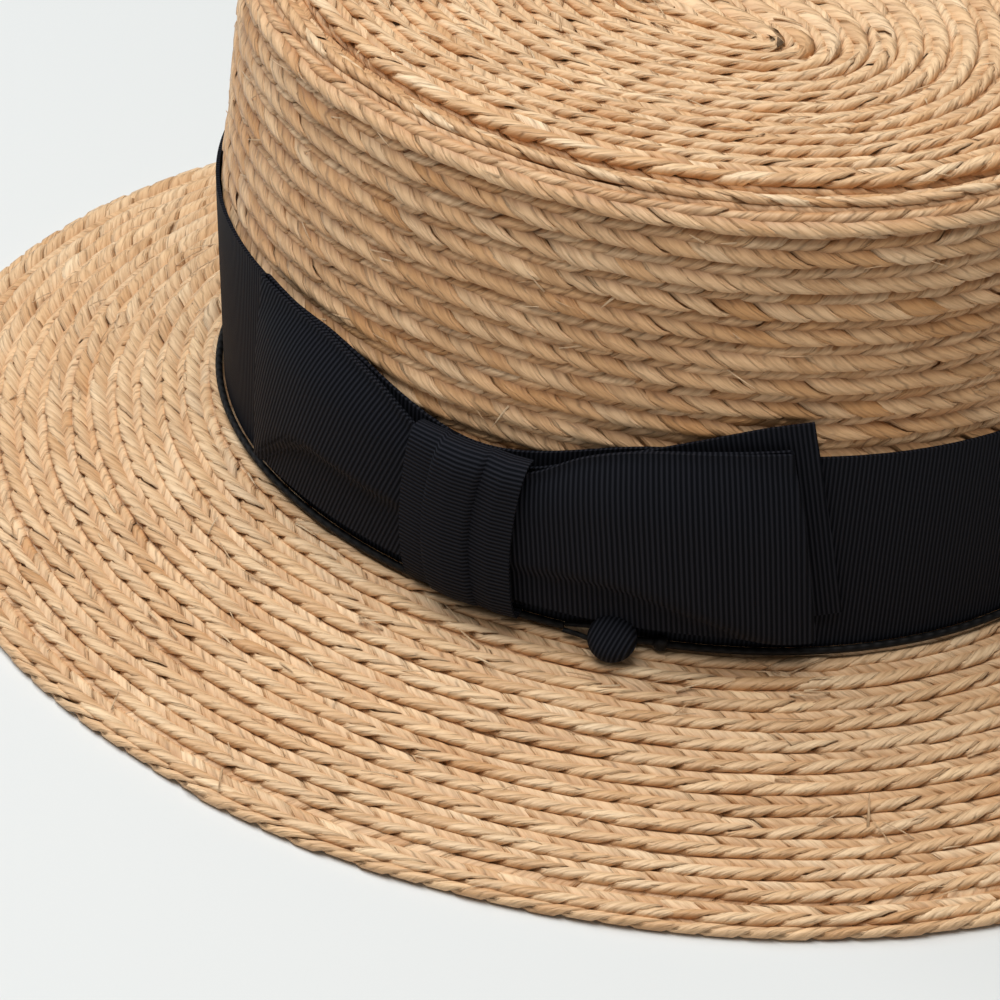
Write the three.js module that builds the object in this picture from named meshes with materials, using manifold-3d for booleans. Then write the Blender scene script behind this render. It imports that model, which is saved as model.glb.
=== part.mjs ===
// Straw boater hat: a crown and a sloping brim of sewn plaited straw, a ribbon band with a flat bow,
// and a thin cord with a covered button round the foot of the band.
// Millimetres, +Z up. The hat stands on the edge of its brim at Z = 0, its front towards -Y and
// the bow on the +X side. Heights called "up the band" start at the foot of the crown.

import * as THREE from 'three';
import { mergeVertices } from 'three/addons/utils/BufferGeometryUtils.js';
import Module from 'manifold-3d';

const wasm = await Module();
wasm.setup();

// Crown
const HALF_WIDTH = 88;            // outside of the crown's foot, across X
const HALF_LENGTH = 102;          // outside of the crown's foot, along Y
const FOOT_HEIGHT = 23.5;         // foot of the crown above the surface the brim stands on
const SIDE_HEIGHT = 105;          // foot of the crown to the shoulder
const SIDE_SWELL = 1.6;           // the side stands out by this at the top of the band
const SHOULDER_INSET = 1.4;       // and comes back in by this at the shoulder
const FRONT_TUCK = 2.5;           // the foot is drawn in at the front
const TIP_RISE = 1.7;             // first row of the tip above the shoulder row
const TIP_DISH = 8.8;             // middle of the tip below that first row
const TIP_ROW_PITCH = 6.08;
const TIP_ROWS = 13;
const TIP_CENTRE_INSET = 3.5;     // half width of the strip that the plait starts from
const SIDE_ROW_PITCH = 5.7;
const SIDE_ROWS = 9;
const INNER_TIP_ROWS = [1, 4, 9, TIP_ROWS];     // rows where the smooth inside of the tip has a ring
const STRAW_WALL = 2.4;
const ROW_STEP = 1.0;             // each row's edge stands this far over the row that it laps on
const ROW_UNDERCUT = 0.4;         // width of the step between two rows

// Brim
const BRIM_WIDTH = 68.75;
const BRIM_ROW_PITCH = 5.05;
const BRIM_ROWS = 12;
const UNDERSIDE_ROWS = [11, 7.5, 4, 0];         // rows where the smooth underside has a ring
const BRIM_CURVE = 1.15;          // above 1 the slope eases towards the edge
const EDGE_HEIGHT = 2.4;          // top of the brim at its edge
const EDGE_ROW_WIDTH = 10.2;      // the doubled row under the edge, which lies flat on the surface
const EDGE_ROW_THICKNESS = 1.4;
const EDGE_ROW_SHOWS = 2.2;       // it shows this far outside the last row of the top

// Ribbon and cord
const RIBBON_WIDTH = 48;
const RIBBON_THICKNESS = 1.0;
const CORD_DIAMETER = 1.6;
const LOOP_CORD_DIAMETER = 1.1;
const GAP = 0.35;                 // between neighbouring pieces
const BAND_LIFT = 0.6;            // foot of the band above the foot of the crown
const BAND_DIP = 10;              // the bow's knot draws the top of the band down by this
const BOW_ANGLE = 2.4;            // degrees from +X towards +Y, middle of the knot
const BAND_DIP_REACH = 24;        // degrees each way over which the band comes up again

// Covered button
const BUTTON_ANGLE = 21;          // degrees from +X towards +Y
const BUTTON_OUT = 6.7;           // middle of the rim, out from the crown
const BUTTON_UP = 2.9;            // and up the band
const BUTTON_TILT = 40;           // degrees, its face looks up by this
const BUTTON_RADIUS = 5.1;

// Facets
const STATIONS = 40;
const BAND_STATIONS = 72;
const CORD_STEPS = 72;
const CORD_SIDES = 6;
const FINE_CORD_STEPS = 22;
const TIE_SIDES = 10;
const TIE_RINGS = 7;
const BUTTON_SIDES = 14;
const WELD_DISTANCE = 1e-4;

const DEGREE = Math.PI / 180;
const MM_PER_DEGREE = HALF_LENGTH * DEGREE;
const straw = { color: 0xc6a27b, roughness: 0.85, metalness: 0 };
const ribbon = { color: 0x16161a, roughness: 0.7, metalness: 0 };

// Small helpers
const clamp01 = (x) => Math.min(1, Math.max(0, x));
const smooth = (x) => x * x * (3 - 2 * x);

// Rows of a table read smoothly at even steps, every column through a curve.
function refine(table, steps) {
  const names = Object.keys(table[0]);
  const rows = [];
  for (let step = 0; step <= steps; step += 1) {
    const place = (step / steps) * (table.length - 1);
    const i = Math.min(table.length - 2, Math.floor(place));
    const t = place - i;
    const row = {};
    for (const name of names) {
      const at = (k) => table[Math.min(table.length - 1, Math.max(0, k))][name];
      const [startSlope, endSlope] = [(at(i + 1) - at(i - 1)) / 2, (at(i + 2) - at(i)) / 2];
      const start = at(i) * (1 - smooth(t)) + at(i + 1) * smooth(t);
      row[name] = start + startSlope * t * (1 - t) ** 2 - endSlope * t * t * (1 - t);
    }
    rows.push(row);
  }
  return rows;
}

// The hat's plan is an ellipse grown by an offset. Angles are in radians from +X.
function ovalPoint(angle, offset, z) {
  const x = (HALF_WIDTH + offset) * Math.cos(angle);
  const y = (HALF_LENGTH + offset) * Math.sin(angle);
  return new THREE.Vector3(x, y, z);
}

// How far the foot of the crown is drawn in at this angle.
function frontTuck(angle) {
  return FRONT_TUCK * Math.max(0, -Math.sin(angle)) ** 2;
}

// Offset of the crown's outside at a height up the band.
function sideOffset(angle, up) {
  if (up < RIBBON_WIDTH) {
    const rise = up / RIBBON_WIDTH;
    return SIDE_SWELL * rise - frontTuck(angle) * (1 - rise);
  }
  const rise = (up - RIBBON_WIDTH) / (SIDE_HEIGHT - RIBBON_WIDTH);
  return SIDE_SWELL - (SIDE_SWELL + SHOULDER_INSET) * rise;
}

// A place beside the crown: degrees round it, out from its side, and up the band.
function besideCrown(degrees, out, up) {
  const angle = degrees * DEGREE;
  return ovalPoint(angle, sideOffset(angle, up) + out, FOOT_HEIGHT + up);
}

// Solids from rings of points

function solid(points, triangles) {
  let volume = 0;
  for (const [a, b, c] of triangles) volume += points[a].dot(points[b].clone().cross(points[c]));
  const outward = volume > 0 ? triangles : triangles.map(([a, b, c]) => [a, c, b]);
  const geometry = new THREE.BufferGeometry();
  geometry.setAttribute('position', new THREE.Float32BufferAttribute(points.flatMap((p) => p.toArray()), 3));
  geometry.setIndex(outward.flat());
  geometry.computeVertexNormals();
  return geometry;
}

// Two triangles for each side between one ring and the next.
function joinRings(triangles, count, from, to) {
  for (let i = 0; i < count; i += 1) {
    const j = (i + 1) % count;
    triangles.push([from + i, from + j, to + j], [from + i, to + j, to + i]);
  }
}

// A cap over an oval ring, laid as rungs between its +X half and its -X half.
function capOval(triangles, count, start, turn) {
  const quarter = count / 4;
  const at = (i) => start + ((i + count) % count);
  const across = (i) => at(count / 2 - i);
  for (let i = -quarter; i < quarter; i += 1) {
    const rungs = [[at(i), at(i + 1), across(i + 1)], [at(i), across(i + 1), across(i)]];
    for (const [a, b, c] of rungs) {
      if (a !== b && b !== c && c !== a) triangles.push(turn ? [a, c, b] : [a, b, c]);
    }
  }
}

// A cup: rings from the middle of its outside, over the rim, to the middle of its inside.
function cupSolid(rings) {
  const count = rings[0].length;
  const triangles = [];
  for (let r = 0; r + 1 < rings.length; r += 1) joinRings(triangles, count, r * count, (r + 1) * count);
  capOval(triangles, count, 0, true);
  capOval(triangles, count, (rings.length - 1) * count, false);
  return solid(rings.flat(), triangles);
}

// A hoop: closed outlines set one after another round the hat.
function hoopSolid(outlines) {
  const count = outlines[0].length;
  const triangles = [];
  outlines.forEach((_, s) => joinRings(triangles, count, s * count, ((s + 1) % outlines.length) * count));
  return solid(outlines.flat(), triangles);
}

// A folded ribbon. Each path runs along the fold as points { along, out }, and place() puts a point of
// path number i in space. The wall lies half its thickness to each side of the path.
function ribbonSolid(paths, place) {
  const half = RIBBON_THICKNESS / 2;
  const outlines = paths.map((path, i) => {
    const left = [];
    const right = [];
    path.forEach((point, k) => {
      const before = path[Math.max(0, k - 1)];
      const after = path[Math.min(path.length - 1, k + 1)];
      const length = Math.hypot(after.along - before.along, after.out - before.out);
      const side = { along: -(after.out - before.out) / length, out: (after.along - before.along) / length };
      left.push(place(i, k, point.along + half * side.along, point.out + half * side.out));
      right.unshift(place(i, k, point.along - half * side.along, point.out - half * side.out));
    });
    return [...left, ...right];
  });
  const count = outlines[0].length;
  const triangles = [];
  for (let r = 0; r + 1 < outlines.length; r += 1) joinRings(triangles, count, r * count, (r + 1) * count);
  const last = (outlines.length - 1) * count;
  for (let k = 0; k + 1 < count / 2; k += 1) {
    const [a, b, c, d] = [k, k + 1, count - 2 - k, count - 1 - k];
    triangles.push([a, c, b], [a, d, c], [last + a, last + b, last + c], [last + a, last + c, last + d]);
  }
  return solid(outlines.flat(), triangles);
}

// A round cord along a curve.
function cordSolid(curve, diameter, steps) {
  const section = new THREE.Shape();
  for (let i = 0; i < CORD_SIDES; i += 1) {
    const turn = (2 * Math.PI * i) / CORD_SIDES;
    const [x, y] = [0.5 * diameter * Math.cos(turn), 0.5 * diameter * Math.sin(turn)];
    if (i === 0) section.moveTo(x, y);
    else section.lineTo(x, y);
  }
  section.closePath();
  return new THREE.ExtrudeGeometry(section, { steps, extrudePath: curve, curveSegments: 1 });
}

const hat = new THREE.Group();

function addPiece(name, geometry, finish) {
  const mesh = new THREE.Mesh(geometry, new THREE.MeshStandardMaterial(finish));
  mesh.name = name;
  hat.add(mesh);
  return mesh;
}

const stationAngles = (count) => Array.from({ length: count }, (_, i) => (2 * Math.PI * i) / count);

// Crown: rows on the tip run outwards, each lapping on the next, then down the side to the band

function tipHeight(row) {
  return FOOT_HEIGHT + SIDE_HEIGHT + TIP_RISE * Math.min(1, row) - TIP_DISH * Math.min(1, row / TIP_ROWS);
}

function crownSolid() {
  const ring = (offset, z) => stationAngles(STATIONS).map((angle) => ovalPoint(angle, offset, z));
  const sideRing = (out, up) =>
    stationAngles(STATIONS).map((angle) => ovalPoint(angle, sideOffset(angle, up) + out, FOOT_HEIGHT + up));
  const half = ROW_STEP / 2;
  const rings = [ring(TIP_CENTRE_INSET - HALF_WIDTH, tipHeight(TIP_ROWS) - half)];
  for (let row = TIP_ROWS; row >= 1; row -= 1) {
    const offset = -SHOULDER_INSET - TIP_ROW_PITCH * row;
    rings.push(ring(offset, tipHeight(row) + half));
    rings.push(ring(offset + ROW_UNDERCUT, tipHeight(row) - half));
  }
  rings.push(ring(-SHOULDER_INSET + half, tipHeight(0)));
  rings.push(sideRing(-half, SIDE_HEIGHT - ROW_STEP));
  for (let row = 1; row <= SIDE_ROWS; row += 1) {
    const up = SIDE_HEIGHT - SIDE_ROW_PITCH * row;
    rings.push(sideRing(half, up));
    rings.push(sideRing(-half, up - ROW_UNDERCUT));
  }
  rings.push(sideRing(0, RIBBON_WIDTH - ROW_STEP));
  rings.push(sideRing(0, 0));
  rings.push(sideRing(-STRAW_WALL, 0));
  rings.push(sideRing(-STRAW_WALL, RIBBON_WIDTH));
  rings.push(sideRing(-STRAW_WALL, SIDE_HEIGHT - 2 * STRAW_WALL));
  for (const row of INNER_TIP_ROWS) {
    rings.push(ring(-SHOULDER_INSET - STRAW_WALL - TIP_ROW_PITCH * row, tipHeight(row) - STRAW_WALL));
  }
  return cupSolid(rings);
}

addPiece('crown', crownSolid(), straw);

// Brim: a sloping hoop whose rows lap outwards, with a doubled row flat under its edge

function brimTop(out) {
  const top = FOOT_HEIGHT - GAP;
  return EDGE_HEIGHT + (top - EDGE_HEIGHT) * (1 - clamp01(out / BRIM_WIDTH)) ** BRIM_CURVE;
}

function brimSection() {
  const half = ROW_STEP / 2;
  const lastRowEdge = BRIM_WIDTH - EDGE_ROW_SHOWS;
  const section = [{ out: -STRAW_WALL, z: brimTop(0) }];
  section.push({ out: ROW_STEP, z: brimTop(ROW_STEP) });
  for (let row = 1; row <= BRIM_ROWS; row += 1) {
    const out = BRIM_ROW_PITCH * row;
    section.push({ out, z: brimTop(out) + half });
    section.push({ out: out + ROW_UNDERCUT, z: brimTop(out) - half });
  }
  section.push({ out: lastRowEdge, z: brimTop(lastRowEdge) });
  section.push({ out: lastRowEdge + ROW_UNDERCUT, z: EDGE_ROW_THICKNESS });
  section.push({ out: BRIM_WIDTH, z: EDGE_ROW_THICKNESS });
  section.push({ out: BRIM_WIDTH, z: 0 });
  section.push({ out: BRIM_WIDTH - EDGE_ROW_WIDTH, z: 0 });
  for (const row of UNDERSIDE_ROWS) {
    const out = BRIM_ROW_PITCH * row;
    section.push({ out, z: brimTop(out) - STRAW_WALL });
  }
  section.push({ out: -STRAW_WALL, z: brimTop(0) - STRAW_WALL });
  return section;
}

function brimSolid() {
  const section = brimSection();
  return hoopSolid(stationAngles(STATIONS).map((angle) => section.map(({ out, z }) => {
    const drawnIn = frontTuck(angle) * (1 - clamp01(out / BRIM_WIDTH));
    return ovalPoint(angle, out - drawnIn, z);
  })));
}

addPiece('brim', brimSolid(), straw);

// Hat band: one ribbon round the crown, drawn down where the bow is tied

const bandOut = GAP + RIBBON_THICKNESS;

function bandTop(degrees) {
  const away = Math.abs(degrees - BOW_ANGLE) / BAND_DIP_REACH;
  return BAND_LIFT + RIBBON_WIDTH - BAND_DIP * (1 - smooth(clamp01(away)));
}

function bandSolid() {
  return hoopSolid(stationAngles(BAND_STATIONS).map((angle) => {
    const degrees = angle <= Math.PI ? angle / DEGREE : angle / DEGREE - 360;
    const top = bandTop(degrees);
    const levels = [BAND_LIFT, top / 2, top];
    const inside = levels.map((up) => besideCrown(degrees, GAP, up));
    const outside = levels.map((up) => besideCrown(degrees, bandOut, up));
    return [...inside, ...outside.reverse()];
  }));
}

addPiece('hat_band', bandSolid(), ribbon);

// Bow loops: each ribbon goes out from the knot along the band, turns over and comes back in front.
// The tables run from the knot to the turned end. top and bottom are heights up the band of the
// front of the loop, lift is how far its middle stands out, and lean is how many degrees further
// round its lower edge reaches than its upper edge.

const rightLoop = [
  { angle: 6.5, top: 36.5, bottom: 17.0, lift: 6.4, lean: 0 },
  { angle: 10.5, top: 38.5, bottom: 16.7, lift: 6.6, lean: 0 },
  { angle: 16, top: 45.2, bottom: 18.2, lift: 7.8, lean: 0 },
  { angle: 22, top: 49.0, bottom: 17.6, lift: 8.4, lean: 0.6 },
  { angle: 29, top: 50.6, bottom: 13.0, lift: 8.2, lean: 1.8 },
  { angle: 35, top: 51.4, bottom: 7.5, lift: 7.4, lean: 3.4 },
  { angle: 38.6, top: 51.8, bottom: 5.6, lift: 6.6, lean: 4.6 },
];
const leftLoop = [
  { angle: -1.5, top: 36.5, bottom: 19.0, lift: 4.6, lean: 0 },
  { angle: -4.8, top: 38.5, bottom: 19.2, lift: 4.8, lean: 0 },
  { angle: -10.3, top: 44.4, bottom: 20.6, lift: 6.2, lean: 0 },
  { angle: -15.5, top: 47.8, bottom: 21.6, lift: 6.8, lean: 0 },
  { angle: -21, top: 49.6, bottom: 19.6, lift: 6.6, lean: -0.4 },
  { angle: -27, top: 50.4, bottom: 11.0, lift: 5.6, lean: -1.0 },
  { angle: -31.4, top: 50.8, bottom: 4.6, lift: 4.4, lean: -1.2 },
];
const LOOP_STEPS = 11;
const LOOP_LEVELS = 6;
const FOLD_STEPS = 4;
const LOOP_BACK_DROP = 8;         // the back of a loop reaches this much lower than its front
const LOOP_PILLOW = 0.34;         // share of the lift that the upper and lower edges lose

function loopSolid(rows, backOut) {
  const table = refine(rows, LOOP_STEPS);
  const end = table[table.length - 1];
  const sign = Math.sign(end.angle);
  const paths = [];
  const heights = [];
  for (let level = 0; level < LOOP_LEVELS; level += 1) {
    const v = level / (LOOP_LEVELS - 1);
    const pillow = 1 - LOOP_PILLOW * (2 * v - 1) ** 2;
    const path = [];
    const height = [];
    const add = (row, out, bottom, reach) => {
      path.push({ along: (row.angle + row.lean * (1 - v)) * MM_PER_DEGREE + reach, out });
      height.push(bottom + (row.top - bottom) * v);
    };
    for (const row of table) add(row, backOut, Math.max(end.bottom, row.bottom - LOOP_BACK_DROP), 0);
    const endOut = backOut + (end.lift - backOut) * pillow;
    const radius = (endOut - backOut) / 2;
    for (let step = 1; step < FOLD_STEPS; step += 1) {
      const turn = Math.PI * (step / FOLD_STEPS);
      add(end, backOut + radius * (1 - Math.cos(turn)), end.bottom, sign * radius * Math.sin(turn));
    }
    for (const row of [...table].reverse()) add(row, backOut + (row.lift - backOut) * pillow, row.bottom, 0);
    paths.push(path);
    heights.push(height);
  }
  return ribbonSolid(paths, (i, k, reach, out) => besideCrown(reach / MM_PER_DEGREE, out, heights[i][k]));
}

const loopBackOut = bandOut + GAP + RIBBON_THICKNESS / 2;
addPiece('bow_left_loop', loopSolid(leftLoop, loopBackOut), ribbon);

// Behind the right loop a second one is pressed flat and turned up at its end.
const backLoop = [
  { angle: 6.5, top: 36.0, bottom: 14.0, lean: 0 },
  { angle: 10.9, top: 38.4, bottom: 13.0, lean: 0 },
  { angle: 17.7, top: 44.4, bottom: 11.0, lean: 0.8 },
  { angle: 26.6, top: 50.6, bottom: 9.0, lean: 2.4 },
  { angle: 35.3, top: 55.6, bottom: 9.0, lean: 4.6 },
  { angle: 41.5, top: 57.6, bottom: 10.2, lean: 6.2 },
];

function backLoopSolid() {
  const table = refine(backLoop, LOOP_STEPS);
  const levels = Array.from({ length: LOOP_LEVELS }, (_, i) => i / (LOOP_LEVELS - 1));
  const paths = levels.map((v) => table.map((row) => (
    { along: (row.angle + row.lean * (1 - v)) * MM_PER_DEGREE, out: loopBackOut })));
  return ribbonSolid(paths, (i, k, reach, out) => {
    const { top, bottom } = table[k];
    return besideCrown(reach / MM_PER_DEGREE, out, bottom + (top - bottom) * levels[i]);
  });
}

addPiece('bow_back_loop', backLoopSolid(), ribbon);
addPiece('bow_right_loop', loopSolid(rightLoop, loopBackOut + RIBBON_THICKNESS + GAP), ribbon);

// Knot: a pleated strip over the middle of the bow, turned in at its upper and lower ends.
// waist is how many degrees a pleat line moves towards the left at half height.
const knotPleats = [
  { angle: -4.4, lift: 6.6, waist: 0.8 },
  { angle: -0.6, lift: 7.8, waist: 1.2 },
  { angle: 0.0, lift: 8.8, waist: 1.4 },
  { angle: 2.6, lift: 9.4, waist: 1.5 },
  { angle: 4.9, lift: 9.2, waist: 1.4 },
  { angle: 5.5, lift: 8.2, waist: 1.4 },
  { angle: 7.6, lift: 9.2, waist: 1.2 },
  { angle: 10.0, lift: 8.8, waist: 0.9 },
];
const knotProfile = [
  { up: 2.2, share: 0.28 },
  { up: 2.0, share: 0.68 },
  { up: 5.5, share: 0.92 },
  { up: 13, share: 1 },
  { up: 21, share: 1 },
  { up: 30, share: 0.98 },
  { up: 36.5, share: 0.92 },
  { up: 39.6, share: 0.68 },
  { up: 39.4, share: 0.28 },
];

function knotSolid() {
  const topUp = knotProfile[knotProfile.length - 1].up;
  const paths = knotPleats.map(({ lift }) => (
    knotProfile.map(({ up, share }) => ({ along: up, out: share * lift }))
  ));
  return ribbonSolid(paths, (i, k, up, out) => {
    const { angle, waist } = knotPleats[i];
    return besideCrown(angle - waist * Math.sin(Math.PI * clamp01(up / topUp)), out, up);
  });
}

addPiece('bow_knot', knotSolid(), ribbon);

// Wind cord: from behind the button, through a small knot, round the foot of the band to the button's loop

const cordOut = bandOut + GAP + CORD_DIAMETER / 2;
const CORD_UP = 0.35;              // middle of the cord, up the band
const CORD_START = { angle: 22.6, out: 3.6, up: 0.8 };
const CORD_KNOT_ANGLE = 26.4;
const CORD_KNOT_RADIUS = 1.7;
const CORD_END_ANGLE = 14.5;

function manifoldOf(geometry) {
  const bare = geometry.clone();
  bare.deleteAttribute('normal');
  bare.deleteAttribute('uv');
  const merged = mergeVertices(bare, WELD_DISTANCE);
  const vertProperties = Float32Array.from(merged.attributes.position.array);
  const triVerts = Uint32Array.from(merged.index.array);
  return new wasm.Manifold(new wasm.Mesh({ numProp: 3, vertProperties, triVerts }));
}

function joined(first, second) {
  const mesh = manifoldOf(first).add(manifoldOf(second)).getMesh();
  const geometry = new THREE.BufferGeometry();
  geometry.setAttribute('position', new THREE.BufferAttribute(Float32Array.from(mesh.vertProperties), 3));
  geometry.setIndex(new THREE.BufferAttribute(Uint32Array.from(mesh.triVerts), 1));
  geometry.computeVertexNormals();
  return geometry;
}

function windCordSolid() {
  const turn = CORD_END_ANGLE + 360 - CORD_KNOT_ANGLE;
  const route = [besideCrown(CORD_START.angle, CORD_START.out, CORD_START.up)];
  for (let i = 0; i <= CORD_STEPS; i += 1) {
    route.push(besideCrown(CORD_KNOT_ANGLE + (turn * i) / CORD_STEPS, cordOut, CORD_UP));
  }
  const cord = cordSolid(new THREE.CatmullRomCurve3(route), CORD_DIAMETER, CORD_STEPS);
  const tie = new THREE.SphereGeometry(CORD_KNOT_RADIUS, TIE_SIDES, TIE_RINGS);
  const { x, y, z } = besideCrown(CORD_KNOT_ANGLE, cordOut + CORD_DIAMETER / 4, CORD_UP + CORD_DIAMETER / 4);
  return joined(cord, tie.translate(x, y, z));
}

addPiece('wind_cord', windCordSolid(), ribbon);

// Covered button: a domed head on a short shank, leaning out from the foot of the band

const SHANK_RADIUS = 1.3;
const buttonProfile = [
  { radius: 0, along: -3.7 },
  { radius: SHANK_RADIUS, along: -3.7 },
  { radius: SHANK_RADIUS, along: -2.4 },
  { radius: 3.9, along: -1.6 },
  { radius: BUTTON_RADIUS, along: -0.4 },
  { radius: BUTTON_RADIUS, along: 0.5 },
  { radius: 4.3, along: 1.9 },
  { radius: 2.6, along: 2.8 },
  { radius: 0, along: 3.1 },
];
const buttonPlace = besideCrown(BUTTON_ANGLE, BUTTON_OUT, BUTTON_UP);
const outwards = new THREE.Vector3(
  Math.cos(BUTTON_ANGLE * DEGREE) / HALF_WIDTH, Math.sin(BUTTON_ANGLE * DEGREE) / HALF_LENGTH, 0).normalize();
const buttonAxis = outwards.clone().multiplyScalar(Math.cos(BUTTON_TILT * DEGREE));
buttonAxis.z = Math.sin(BUTTON_TILT * DEGREE);

function buttonSolid() {
  const outline = buttonProfile.map(({ radius, along: y }) => new THREE.Vector2(radius, y));
  return new THREE.LatheGeometry(outline, BUTTON_SIDES);
}

const button = addPiece('cord_button', buttonSolid(), ribbon);
button.quaternion.setFromUnitVectors(new THREE.Vector3(0, 1, 0), buttonAxis);
button.position.copy(buttonPlace);

// Button loop: a fine cord from the end of the wind cord, round the shank and back

const LOOP_ALONG = -3.05;          // the loop's place along the button's axis
const LOOP_TURN_POINTS = 7;
const upperStrand = [
  { angle: 15.1, out: 2.5, up: 0.85 },
  { angle: 17.5, out: 2.7, up: 1.85 },
];
const lowerStrand = [
  { angle: 17.5, out: 4.7, up: 0.35 },
  { angle: 15.1, out: 4.1, up: 0.35 },
];

function buttonLoopSolid() {
  const radius = SHANK_RADIUS + GAP + LOOP_CORD_DIAMETER / 2;
  const middle = buttonPlace.clone().addScaledVector(buttonAxis, LOOP_ALONG);
  const round = new THREE.Vector3(0, 0, 1).cross(outwards);
  const upwards = buttonAxis.clone().cross(round);
  const route = upperStrand.map(({ angle, out, up }) => besideCrown(angle, out, up));
  for (let i = 0; i < LOOP_TURN_POINTS; i += 1) {
    const turn = Math.PI * (0.5 - i / (LOOP_TURN_POINTS - 1));
    const point = middle.clone().addScaledVector(round, radius * Math.cos(turn));
    route.push(point.addScaledVector(upwards, radius * Math.sin(turn)));
  }
  for (const { angle, out, up } of lowerStrand) route.push(besideCrown(angle, out, up));
  return cordSolid(new THREE.CatmullRomCurve3(route), LOOP_CORD_DIAMETER, FINE_CORD_STEPS);
}

addPiece('button_loop', buttonLoopSolid(), ribbon);

export default hat;
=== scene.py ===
import math
from collections import namedtuple

import bpy
import numpy as np
from mathutils import Matrix, Vector


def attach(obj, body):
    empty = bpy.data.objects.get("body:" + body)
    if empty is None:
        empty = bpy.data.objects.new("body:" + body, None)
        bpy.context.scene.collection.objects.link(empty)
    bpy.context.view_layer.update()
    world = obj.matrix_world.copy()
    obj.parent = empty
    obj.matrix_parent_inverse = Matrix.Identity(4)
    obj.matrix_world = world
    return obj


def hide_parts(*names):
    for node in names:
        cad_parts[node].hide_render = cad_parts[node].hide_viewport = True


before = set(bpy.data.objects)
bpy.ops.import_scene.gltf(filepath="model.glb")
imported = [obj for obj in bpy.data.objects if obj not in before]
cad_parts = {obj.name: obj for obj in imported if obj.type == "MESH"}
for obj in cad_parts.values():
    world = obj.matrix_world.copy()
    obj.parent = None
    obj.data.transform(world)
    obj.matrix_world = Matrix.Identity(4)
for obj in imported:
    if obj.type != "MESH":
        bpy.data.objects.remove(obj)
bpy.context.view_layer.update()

RANDOM_SEED = 11
rng = np.random.default_rng(RANDOM_SEED)

MM = 0.001
UPWARDS = np.array([0.0, 0.0, 1.0])

# Sizes of the hat in millimetres
HALF_WIDTH = 88.0            # outside of the crown's foot, across X
HALF_LENGTH = 102.0          # outside of the crown's foot, along Y
FOOT_HEIGHT = 23.5
SIDE_HEIGHT = 105.0
SIDE_SWELL = 1.6             # the side is outside its foot by this at the top of the band
SHOULDER_INSET = 1.4         # and inside it by this at the shoulder
SHOULDER_RADIUS = 6.5
SHOULDER_DROP = 0.6
FRONT_TUCK = 2.5             # the foot is drawn in by this at the front
TUCK_SLOPE = 0.35            # slope of the shoulder's part that goes in under the tip
TIP_EDGE_INSET = 11.2
TIP_EDGE_DROP = 0.2
TIP_RISE = 1.7               # the tip rises to this over the side within its outermost row
TIP_DISH = 8.8               # and sinks by this towards its middle
TIP_MIDDLE = 0.6             # half width of the oval in the middle of the tip
MIDDLE_SLOPE = 0.01          # share by which it still narrows there
TIP_ROW_PITCH = 5.75
TIP_ROWS = 12
SIDE_ROW_PITCH = 5.7
SIDE_ROWS = 18
SIDE_ROW_START = -0.5
SIDE_ROW_SHIFT = 3.2         # rows between the shoulder and the foot lie lower by up to this
SIDE_SHIFT_POWER = 0.6
SHOULDER_ROW_EDGE = -0.6
HIDDEN_ROW_EDGE = -8.0       # a row under the edge of the tip
SHOULDER_ROWS = 2
UPPER_ROWS = 14              # rows of the shoulder and of the side down to below the band's top
LOWER_ROW_LIFT = -0.6        # the rows below them lie deeper
BRIM_WIDTH = 68.75
BRIM_ROW_PITCH = 5.05
BRIM_ROWS = 12
BRIM_CURVE = 1.15
BRIM_INNER_TOP = 23.15
BRIM_INNER_TUCK = 0.6        # the brim turns up this far inside the crown's foot
LAST_ROW_EDGE = 67.0
EDGE_HEIGHT = 3.0
EDGE_ROW_HEIGHT = 2.2
EDGE_ROW_START = 0.4         # the doubled row begins this far outside the edge
EDGE_ROW_END = -0.6          # and its end is laid inside its beginning
EDGE_ROW_TURNS = 1.012
EDGE_END_ANGLE = -7.0        # degrees, where it begins and ends

# Sizes of the ribbons
RIBBON_WIDTH = 48.0
RIBBON_THICKNESS = 0.8
SOLID_RIBBON = 1.0           # thickness of the solids that the ribbons replace
GAP = 0.35                   # between pieces that lie on each other
BAND_OUT = 1.35              # from the crown to the band's outside
BAND_LIFT = 0.6
BAND_DIP = 10.0              # the bow draws the band's top down by this
BAND_DIP_REACH = 24.0        # degrees to each side of the bow
BOW_ANGLE = 2.4
MM_PER_DEGREE = HALF_LENGTH * math.pi / 180

# The plait: five flat strands of raffia that go from edge to edge, over one and under the next
STRANDS = 5
STRAND_THICKNESS = 0.75
EDGE_PLUMPNESS = 0.65        # a strand is thicker by this share where it turns round an edge
MIDDLE_SPREAD = 0.09         # and wider by this share between the edges
LOBE_CURVE = 1.1             # a strand's turn round an edge curves back by this at both its sides
CROSSING_STEEPNESS = 1.5
EDGE_LINGER = 0.2            # a strand crosses slower by this share at the edges, and faster midway
LINGER_STEPS = 200
LINE_STEPS = 360             # steps along one turn of a spiral
SEAM_ANGLE = 204.0           # degrees, where one row of a spiral goes over to the next
SEAM_SHARE = 0.15            # share of a turn in which it goes over
MIDDLE_HUE = 0.5
FIBRE_PLACES = 50            # a strand takes its fibres from one of this many places of the pattern

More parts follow.
